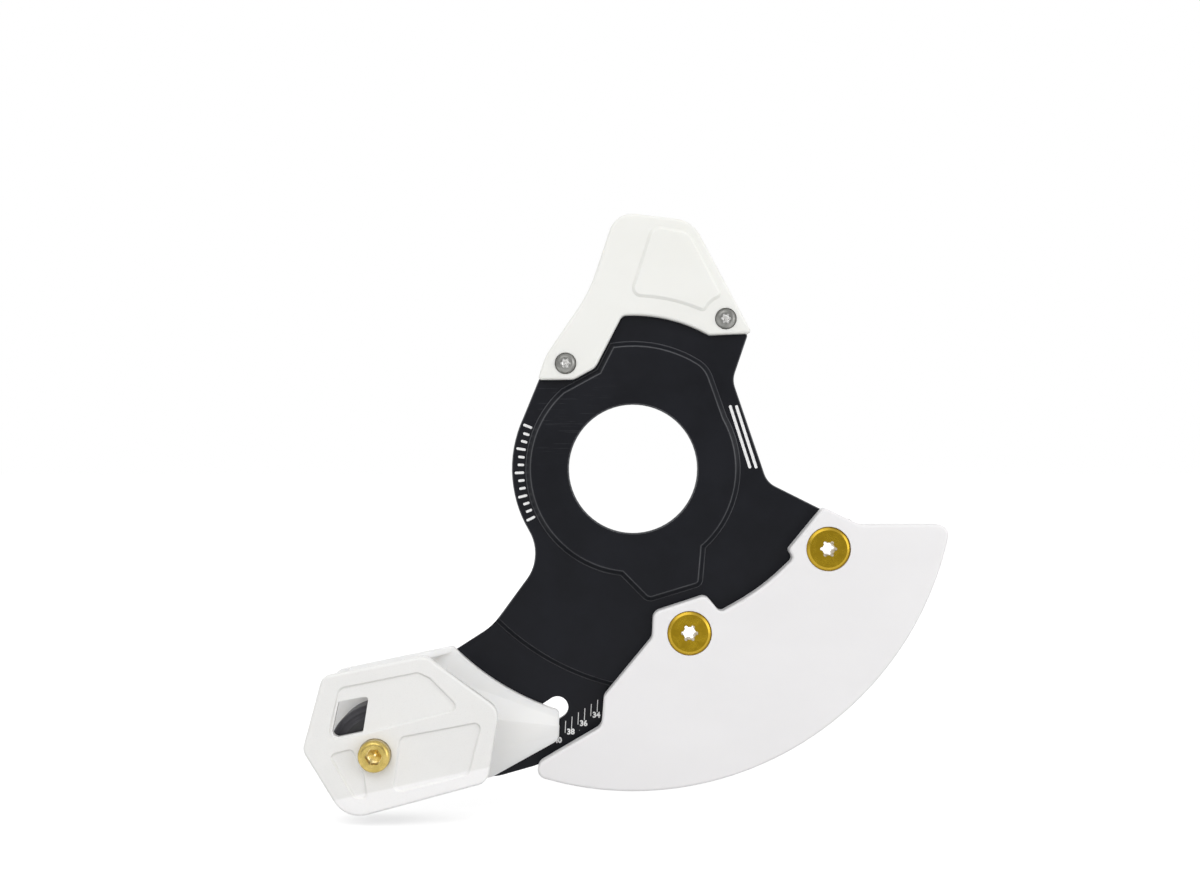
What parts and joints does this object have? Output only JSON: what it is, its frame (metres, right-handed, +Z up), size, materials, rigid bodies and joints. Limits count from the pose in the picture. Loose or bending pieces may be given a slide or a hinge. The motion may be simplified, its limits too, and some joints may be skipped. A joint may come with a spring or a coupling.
{
  "type": "bicycle chain guide",
  "caption": "chain guide on a plate clamped behind a bottom bracket cup, with an upper bumper, a bash guard and a sliding lower guide that carries an idler roller under a translucent cover",
  "frame": {"origin": "on the bottom bracket axis, at the back face of the raised disc, which rests on the frame's shell", "axes": "+X towards the front of the bicycle, +Z up, -Y outboard along the bottom bracket axis"},
  "size_m": [0.1723, 0.0337, 0.1606],
  "materials": {
    "black_anodised": "satin black anodised, finely mottled",
    "warm_white_moulding": "satin moulded white nylon, slightly warm",
    "white_moulding": "satin moulded white",
    "milky_moulding": "satin moulded milky white",
    "clear_milky_moulding": "translucent milky moulding",
    "olive_gold_anodised": "satin gold anodised with bright bevels",
    "bright_gold_anodised": "satin gold anodised",
    "screw_steel": "dull zinc-plated steel",
    "steel": "turned steel",
    "bearing_steel": "ground bearing steel",
    "black_nut": "black anodised",
    "black_moulding": "matt black moulding",
    "black_rubber": "matt black rubber",
    "cage_moulding": "natural nylon"
  },
  "bodies": {
    "backplate": {"backplate": "black_anodised", "upper_guide": "warm_white_moulding", "upper_guide_screws": "screw_steel", "bash_guard": "white_moulding", "bash_bolts": "olive_gold_anodised", "bash_sleeve_nuts": "black_nut"},
    "lower_guide": {"guide_base": "milky_moulding", "guide_cover": "clear_milky_moulding", "axle_bolt": "bright_gold_anodised", "clamp_washer": "steel", "clamp_nut": "steel", "rear_axle_spacer": "steel", "centre_axle_spacer": "steel", "front_axle_spacer": "steel", "rear_bearing_inner_race": "bearing_steel", "front_bearing_inner_race": "bearing_steel"},
    "idler": {"idler_hub": "black_moulding", "idler_tyre": "black_rubber", "rear_bearing_outer_race": "bearing_steel", "rear_bearing_shields": "bearing_steel", "rear_bearing_balls": "bearing_steel", "rear_ball_cage": "cage_moulding", "front_bearing_outer_race": "bearing_steel", "front_bearing_shields": "bearing_steel", "front_bearing_balls": "bearing_steel", "front_ball_cage": "cage_moulding"}
  },
  "joints": [
    {"name": "lower_guide_slide", "type": "slide", "parent": "backplate", "child": "lower_guide", "axis": [0.8358, 0, 0.549], "range_m": [0, 0.0125]},
    {"name": "idler_spin", "type": "hinge", "parent": "lower_guide", "child": "idler", "pos_m": [-0.0682, -0.0101, -0.075], "axis": [0, 1, 0], "continuous": true}
  ]
}
